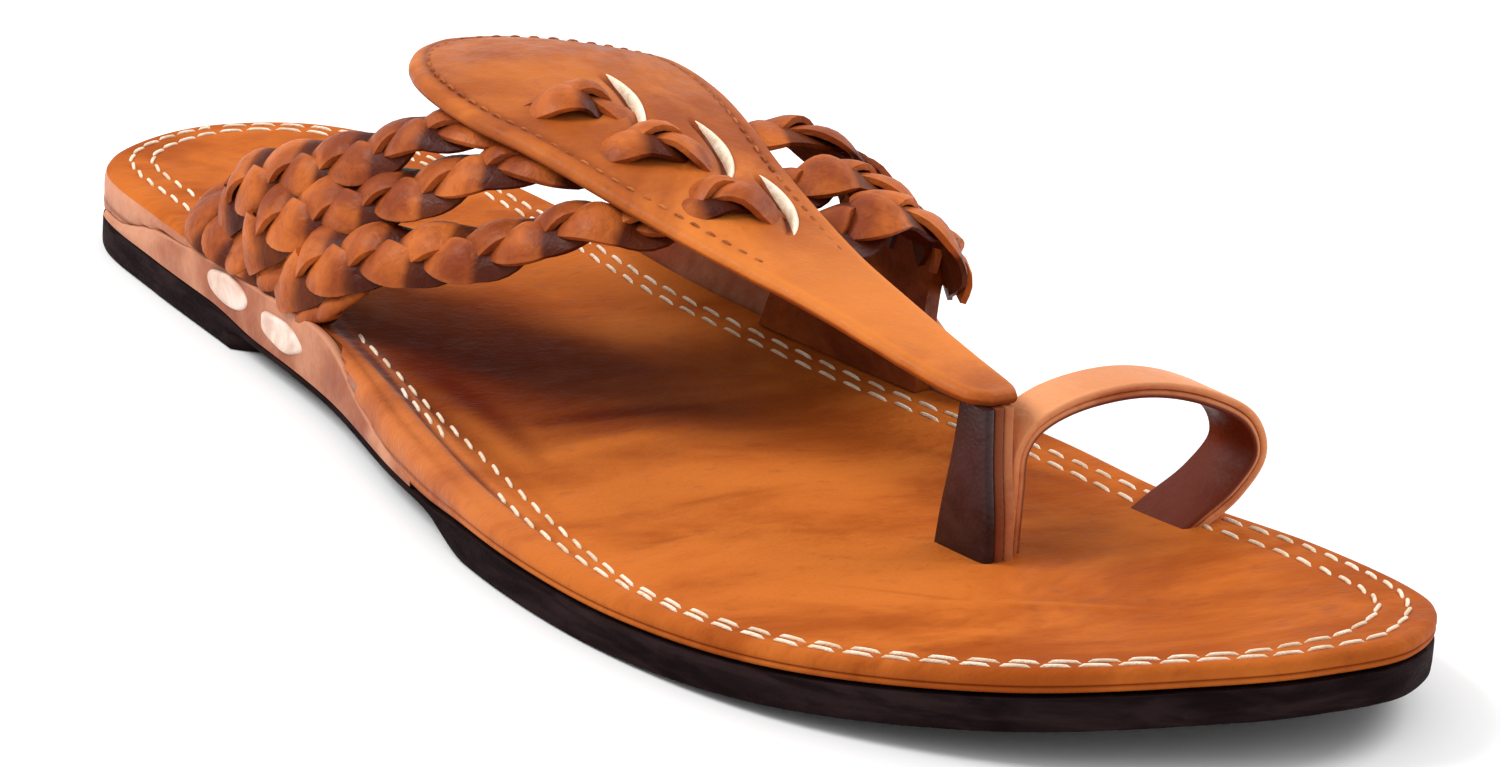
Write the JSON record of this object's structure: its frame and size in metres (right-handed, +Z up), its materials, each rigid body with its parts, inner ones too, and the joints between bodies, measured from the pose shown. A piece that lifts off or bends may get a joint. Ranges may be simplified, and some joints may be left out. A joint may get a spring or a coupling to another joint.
{
  "type": "kolhapuri sandal",
  "caption": "Flat leather toe-ring sandal with a spade-shaped vamp on a toe post, plaited straps laced through its slits, and a stacked sole with a low heel.",
  "frame": {"origin": "on the ground under the middle of the sandal's overall box", "axes": "+X from the heel to the toes, +Y towards the big-toe side, +Z up"},
  "size_m": [0.28, 0.1026, 0.0514],
  "materials": {
    "tan_leather": "oiled vegetable-tanned leather, satin",
    "strap_leather": "soft plaited leather, satin",
    "side_leather": "paler pinkish leather, matt",
    "rawhide": "pale rawhide, matt",
    "dark_leather": "dark burnished leather, glossy",
    "black_sole": "near-black brown sole sheet, matt",
    "thread": "cream waxed stitching thread"
  },
  "bodies": {
    "root": {"outsole": "black_sole", "heel_lift": "black_sole", "midsole": "tan_leather", "insole": "tan_leather", "side_panel_little_toe_side": "side_leather", "side_panel_big_toe_side": "side_leather", "rawhide_disc_little_1": "rawhide", "rawhide_disc_little_2": "rawhide", "rawhide_disc_big_1": "rawhide", "rawhide_disc_big_2": "rawhide", "braided_straps": "strap_leather", "vamp": "tan_leather", "toe_post": "dark_leather", "toe_ring": "strap_leather"}
  },
  "joints": []
}
